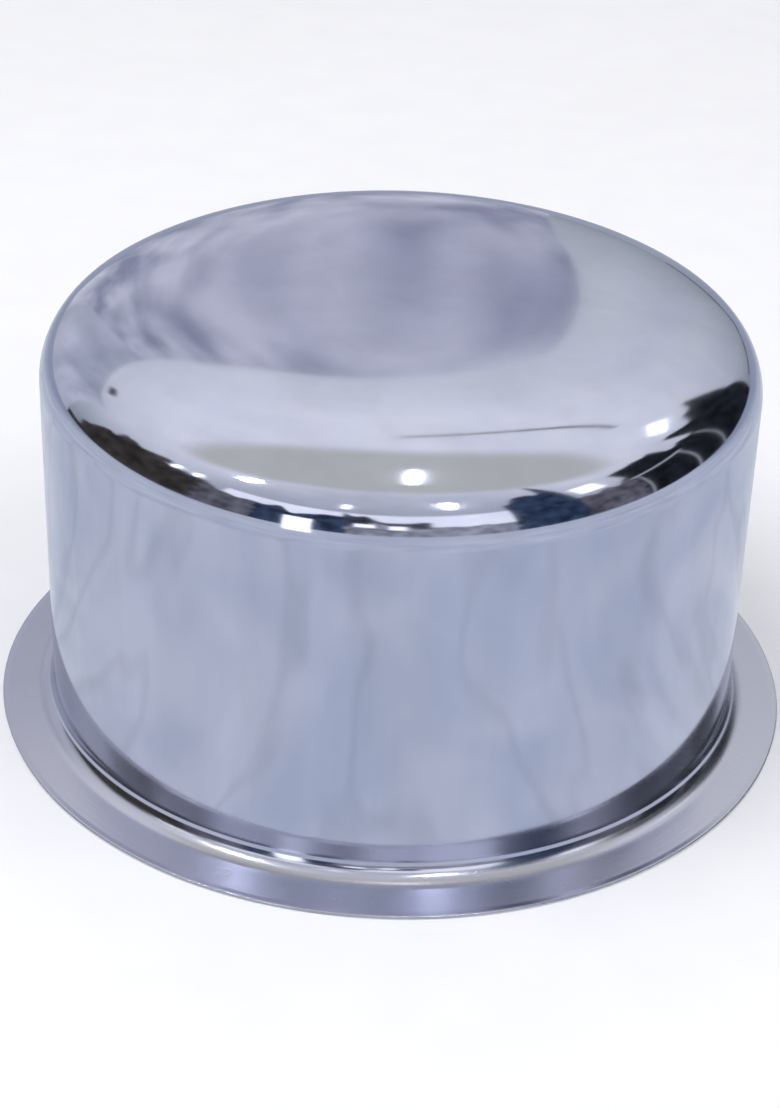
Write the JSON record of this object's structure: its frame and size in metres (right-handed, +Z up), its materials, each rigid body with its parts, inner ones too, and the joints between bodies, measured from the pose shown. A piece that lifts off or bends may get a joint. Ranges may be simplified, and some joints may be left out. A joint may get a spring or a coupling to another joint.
{
  "type": "cooking pot with lid",
  "caption": "Handle-less polished steel cooking pot standing upside down on its flat flanged rim, over a pressed lid with a turned knob that fits its rounded mouth.",
  "frame": {"origin": "centre of the rim circle, on the plane that the upturned rim and the lid's brim stand on", "axes": "+Z up along the axis of revolution, from the rim to the pot's flat base; X and Y are free round it"},
  "size_m": [0.28, 0.28, 0.1527],
  "materials": {
    "pot_steel": "mirror-polished stainless steel with faint spinning marks",
    "lid_steel": "polished stainless steel",
    "knob_steel": "turned and polished",
    "fixing_steel": "plain"
  },
  "bodies": {
    "lid": {"lid_disc": "lid_steel", "lid_knob": "knob_steel", "knob_screw": "fixing_steel", "knob_washer": "fixing_steel"},
    "pot": {"pot_shell": "pot_steel"}
  },
  "joints": [
    {"name": "pot_lift", "type": "slide", "parent": "lid", "child": "pot", "axis": [0, 0, 1], "range_m": [0, 0.2]}
  ]
}
